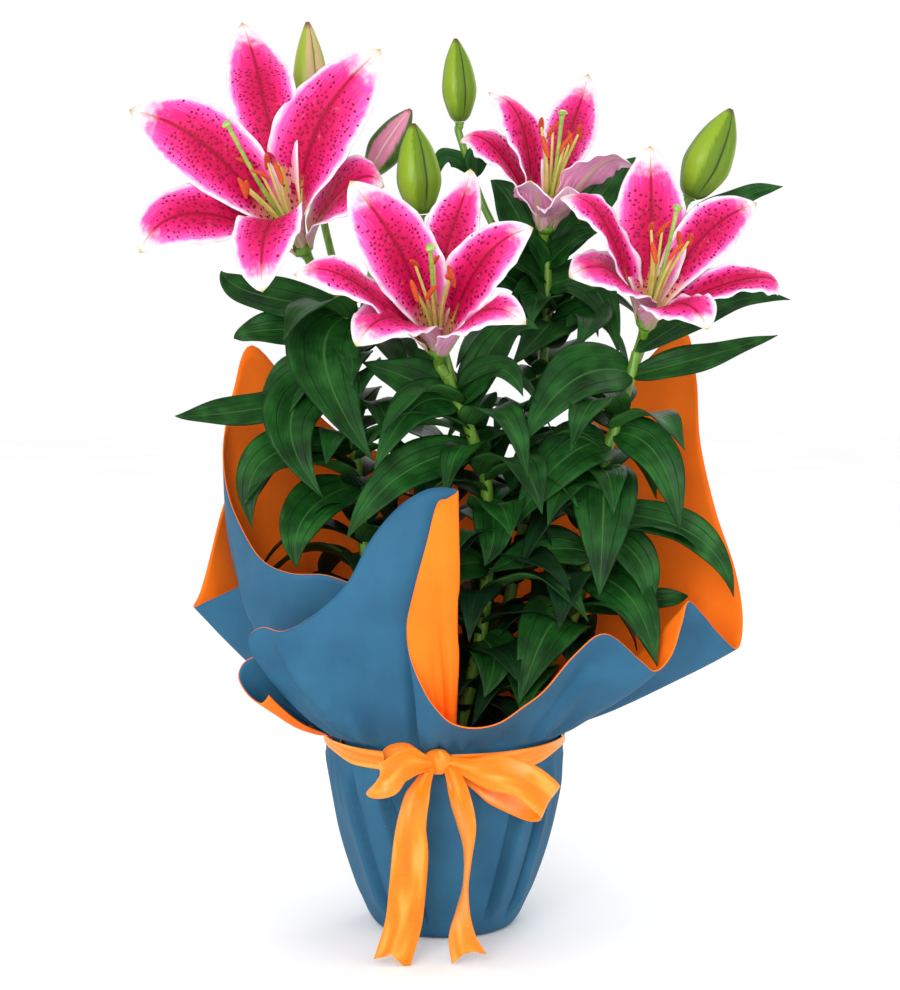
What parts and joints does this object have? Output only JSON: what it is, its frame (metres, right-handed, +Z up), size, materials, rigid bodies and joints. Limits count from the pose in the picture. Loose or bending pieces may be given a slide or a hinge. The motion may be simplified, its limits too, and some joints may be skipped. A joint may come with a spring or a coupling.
{
  "type": "potted lily",
  "caption": "Potted oriental lily with open pink blooms and buds on leafy stems, in a two-tone gathered wrap tied with a satin bow.",
  "frame": {"origin": "centre of the wrapped pot's flat underside", "axes": "+Z up, front with the bow towards -Y"},
  "size_m": [0.469, 0.281, 0.6521],
  "materials": {
    "pot": "dark moulded nursery pot, matt",
    "soil": "dark crumbly potting soil",
    "bulb": "pale fleshy scales",
    "wrap": "smooth matt wrapping sheet, blue outside and orange inside",
    "ribbon": "orange satin ribbon with a soft sheen",
    "tepal": "pink petals with crimson spots and a white margin, softly velvety",
    "stamen": "yellow-green filaments and style with orange-red anthers",
    "bud": "smooth waxy green bud",
    "pink_bud": "waxy pink bud with dark green ribs",
    "foliage": "dark green waxy leaves with arched veins, lighter green stem"
  },
  "bodies": {
    "root": {"pot": "pot", "soil": "soil", "bulb_1": "bulb", "bulb_2": "bulb", "bulb_3": "bulb", "bulb_4": "bulb", "wrap": "wrap", "ribbon": "ribbon", "bloom_1_tepals": "tepal", "bloom_1_stamens": "stamen", "bloom_2_tepals": "tepal", "bloom_2_stamens": "stamen", "bloom_3_tepals": "tepal", "bloom_3_stamens": "stamen", "bloom_4_tepals": "tepal", "bloom_4_stamens": "stamen", "bud_1": "bud", "bud_2": "bud", "bud_3": "bud", "bud_4": "pink_bud", "bud_5": "bud", "stem_1": "foliage", "stem_2": "foliage", "stem_3": "foliage", "stem_4": "foliage"}
  },
  "joints": []
}
